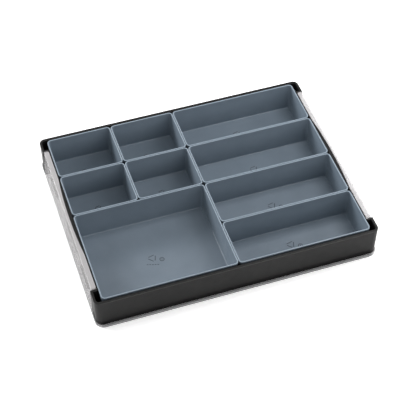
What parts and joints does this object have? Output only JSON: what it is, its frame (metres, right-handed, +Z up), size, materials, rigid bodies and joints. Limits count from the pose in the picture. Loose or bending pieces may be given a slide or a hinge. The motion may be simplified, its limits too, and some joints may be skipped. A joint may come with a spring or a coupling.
{
  "type": "drawer organizer insert",
  "caption": "Shallow desk-drawer insert: loose open bins of different sizes in a black tray, held in a clear carrier with a low lip and flanged side flaps.",
  "frame": {"origin": "centre of the carrier's underside, on the surface it rests on", "axes": "+X to the right along the front, +Y to the back, +Z up out of the bins"},
  "size_m": [0.3796, 0.3008, 0.047],
  "materials": {
    "clear_plastic": "clear, slightly milky polystyrene",
    "black_plastic": "satin black polypropylene",
    "slate_plastic": "satin slate blue-grey polypropylene"
  },
  "bodies": {
    "carrier": {"clear_carrier": "clear_plastic"},
    "tray": {"black_tray": "black_plastic"},
    "large_bin": {"large_bin": "slate_plastic"},
    "small_bin_1": {"small_bin_1": "slate_plastic"},
    "small_bin_2": {"small_bin_2": "slate_plastic"},
    "small_bin_3": {"small_bin_3": "slate_plastic"},
    "small_bin_4": {"small_bin_4": "slate_plastic"},
    "long_bin_1": {"long_bin_1": "slate_plastic"},
    "long_bin_2": {"long_bin_2": "slate_plastic"},
    "long_bin_3": {"long_bin_3": "slate_plastic"},
    "long_bin_4": {"long_bin_4": "slate_plastic"}
  },
  "joints": [
    {"name": "tray_lift", "type": "slide", "parent": "carrier", "child": "tray", "axis": [0, 0, 1], "range_m": [0, 0.06]},
    {"name": "large_bin_lift", "type": "slide", "parent": "tray", "child": "large_bin", "axis": [0, 0, 1], "range_m": [0, 0.06]},
    {"name": "small_bin_1_lift", "type": "slide", "parent": "tray", "child": "small_bin_1", "axis": [0, 0, 1], "range_m": [0, 0.06]},
    {"name": "small_bin_2_lift", "type": "slide", "parent": "tray", "child": "small_bin_2", "axis": [0, 0, 1], "range_m": [0, 0.06]},
    {"name": "small_bin_3_lift", "type": "slide", "parent": "tray", "child": "small_bin_3", "axis": [0, 0, 1], "range_m": [0, 0.06]},
    {"name": "small_bin_4_lift", "type": "slide", "parent": "tray", "child": "small_bin_4", "axis": [0, 0, 1], "range_m": [0, 0.06]},
    {"name": "long_bin_1_lift", "type": "slide", "parent": "tray", "child": "long_bin_1", "axis": [0, 0, 1], "range_m": [0, 0.06]},
    {"name": "long_bin_2_lift", "type": "slide", "parent": "tray", "child": "long_bin_2", "axis": [0, 0, 1], "range_m": [0, 0.06]},
    {"name": "long_bin_3_lift", "type": "slide", "parent": "tray", "child": "long_bin_3", "axis": [0, 0, 1], "range_m": [0, 0.06]},
    {"name": "long_bin_4_lift", "type": "slide", "parent": "tray", "child": "long_bin_4", "axis": [0, 0, 1], "range_m": [0, 0.06]}
  ]
}
